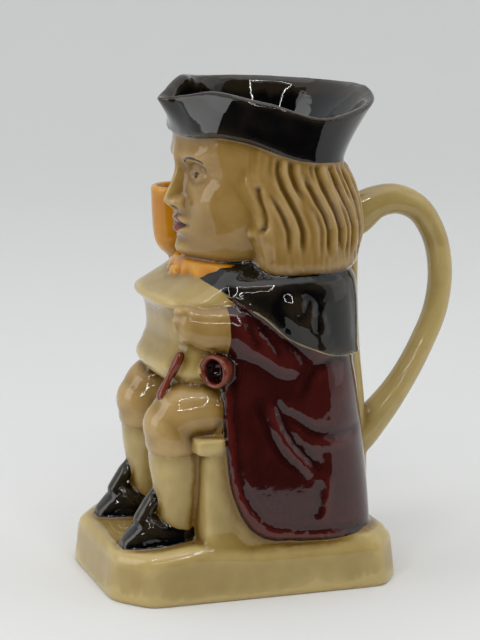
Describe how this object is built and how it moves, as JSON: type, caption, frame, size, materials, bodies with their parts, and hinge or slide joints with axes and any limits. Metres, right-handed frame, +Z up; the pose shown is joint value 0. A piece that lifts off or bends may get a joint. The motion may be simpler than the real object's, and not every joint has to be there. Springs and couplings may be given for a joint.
{
  "type": "toby jug",
  "caption": "Glazed earthenware character jug: a seated drinker whose tricorn hat is the open mouth, on a low oblong plinth, with a loop handle behind.",
  "frame": {"origin": "middle of the plinth's flat underside", "axes": "+Z up, -Y the way the sitter faces, +X towards the sitter's left hand, which lies on the waistcoat; the handle stands on the +Y side"},
  "size_m": [0.1215, 0.1874, 0.2379],
  "materials": {
    "glazed_earthenware": "majolica: coloured lead glazes in cream yellow, honey tan, amber, black and maroon, very glossy, darker where they pool"
  },
  "bodies": {
    "root": {"toby_jug": "glazed_earthenware"}
  },
  "joints": []
}
